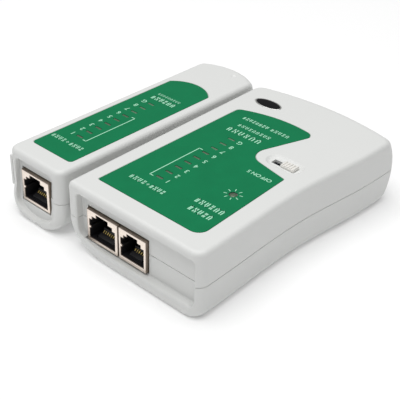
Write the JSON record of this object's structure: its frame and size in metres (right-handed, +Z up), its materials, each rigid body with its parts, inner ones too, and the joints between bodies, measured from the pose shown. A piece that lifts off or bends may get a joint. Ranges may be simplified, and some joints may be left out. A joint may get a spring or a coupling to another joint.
{
  "type": "network cable tester",
  "caption": "Two-piece network cable tester: master unit with jacks, slide switch and indicator row, and a slim detachable remote unit.",
  "frame": {"origin": "bottom centre of the bounding box of the whole set, on the table", "axes": "+X to the right seen from the socket end, +Y from the socket end to the back, +Z up out of the labels"},
  "size_m": [0.1028, 0.1185, 0.0282],
  "materials": {
    "case_plastic": "warm light grey moulded ABS, satin",
    "label_print": "green printed film with pale mint print",
    "badge_black": "plain dark oval badge",
    "shield_nickel": "thin nickel-plated sheet",
    "black_plastic": "black moulded nylon",
    "contact_gold": "gold-plated spring wire",
    "board_laminate": "green solder mask over laminate",
    "led_lens": "unlit tinted lens",
    "knob_plastic": "off-white moulded knob",
    "plated_steel": "zinc-plated steel",
    "battery_jacket": "plain printed steel jacket",
    "capacitor_sleeve": "dark blue sleeve",
    "lead_red": "red insulated lead",
    "lead_black": "black insulated lead"
  },
  "bodies": {
    "master": {"master_top_shell": "case_plastic", "master_bottom_shell": "case_plastic", "master_label": "label_print", "master_badge": "badge_black", "rj45_shield": "shield_nickel", "rj45_insert": "black_plastic", "rj45_contacts": "contact_gold", "rj11_shield": "shield_nickel", "rj11_insert": "black_plastic", "rj11_contacts": "contact_gold", "master_board": "board_laminate", "master_led_1": "led_lens", "master_led_2": "led_lens", "master_led_3": "led_lens", "master_led_4": "led_lens", "master_led_5": "led_lens", "master_led_6": "led_lens", "master_led_7": "led_lens", "master_led_8": "led_lens", "master_led_ground": "led_lens", "power_led": "led_lens", "switch_frame": "plated_steel", "timer_chip": "black_plastic", "counter_chip": "black_plastic", "capacitor": "capacitor_sleeve", "battery": "battery_jacket", "battery_snap": "black_plastic", "battery_lead_red": "lead_red", "battery_lead_black": "lead_black", "master_screw_1": "plated_steel", "master_screw_2": "plated_steel", "master_screw_3": "plated_steel", "master_screw_4": "plated_steel"},
    "switch": {"switch_knob": "knob_plastic"},
    "door": {"battery_door": "case_plastic"},
    "remote": {"remote_top_shell": "case_plastic", "remote_bottom_shell": "case_plastic", "remote_label": "label_print", "remote_rj45_shield": "shield_nickel", "remote_rj45_insert": "black_plastic", "remote_rj45_contacts": "contact_gold", "remote_board": "board_laminate", "remote_led_1": "led_lens", "remote_led_2": "led_lens", "remote_led_3": "led_lens", "remote_led_4": "led_lens", "remote_led_5": "led_lens", "remote_led_6": "led_lens", "remote_led_7": "led_lens", "remote_led_8": "led_lens", "remote_led_ground": "led_lens", "remote_screw_1": "plated_steel", "remote_screw_2": "plated_steel"}
  },
  "joints": [
    {"name": "switch_slide", "type": "slide", "parent": "master", "child": "switch", "axis": [-1, 0, 0], "range_m": [0, 0.0046]},
    {"name": "battery_door_slide", "type": "slide", "parent": "master", "child": "door", "axis": [0, 1, 0], "range_m": [0, 0.042]},
    {"name": "remote_lift_away", "type": "slide", "parent": "master", "child": "remote", "axis": [-1, 0, 0], "range_m": [0, 0.12]}
  ]
}
